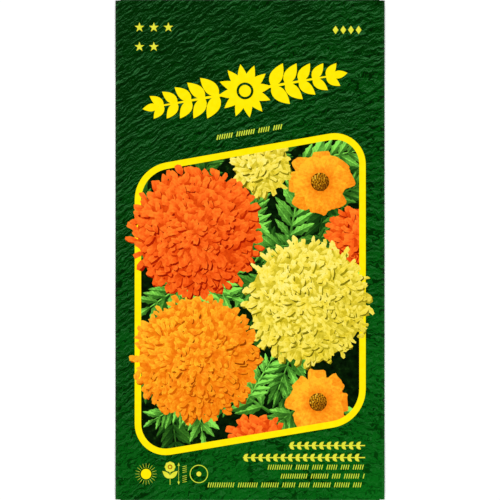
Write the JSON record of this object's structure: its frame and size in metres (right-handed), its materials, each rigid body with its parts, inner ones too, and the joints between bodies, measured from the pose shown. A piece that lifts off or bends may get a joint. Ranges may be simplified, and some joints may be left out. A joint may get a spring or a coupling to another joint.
{
  "type": "flower seed packet",
  "caption": "Flat paper seed packet with a flower picture on its face, a glued seam and end flaps behind, and loose seeds sealed inside.",
  "frame": {"origin": "under the middle of the packet, on the surface that it lies on", "axes": "+Z out of the printed face, +Y towards the packet's top, +X to the right of someone reading the face"},
  "size_m": [0.08, 0.149, 0.0024],
  "materials": {
    "coated_paper": "semi-gloss print",
    "dried_glue": "satin",
    "seed_coat": "dry, ribbed"
  },
  "bodies": {
    "root": {"paper_envelope": "coated_paper", "seam_glue": "dried_glue", "bottom_flap_glue": "dried_glue", "top_flap_glue": "dried_glue", "seed_01": "seed_coat", "seed_02": "seed_coat", "seed_03": "seed_coat", "seed_04": "seed_coat", "seed_05": "seed_coat", "seed_06": "seed_coat", "seed_07": "seed_coat", "seed_08": "seed_coat", "seed_09": "seed_coat", "seed_10": "seed_coat", "seed_11": "seed_coat", "seed_12": "seed_coat", "seed_13": "seed_coat", "seed_14": "seed_coat", "seed_15": "seed_coat", "seed_16": "seed_coat", "seed_17": "seed_coat", "seed_18": "seed_coat", "seed_19": "seed_coat", "seed_20": "seed_coat", "seed_21": "seed_coat", "seed_22": "seed_coat", "seed_23": "seed_coat", "seed_24": "seed_coat", "seed_25": "seed_coat", "seed_26": "seed_coat", "seed_27": "seed_coat", "seed_28": "seed_coat", "seed_29": "seed_coat", "seed_30": "seed_coat", "seed_31": "seed_coat", "seed_32": "seed_coat", "seed_33": "seed_coat", "seed_34": "seed_coat", "seed_35": "seed_coat", "seed_36": "seed_coat", "seed_37": "seed_coat", "seed_38": "seed_coat", "seed_39": "seed_coat", "seed_40": "seed_coat", "seed_41": "seed_coat", "seed_42": "seed_coat", "seed_43": "seed_coat", "seed_44": "seed_coat"}
  },
  "joints": []
}
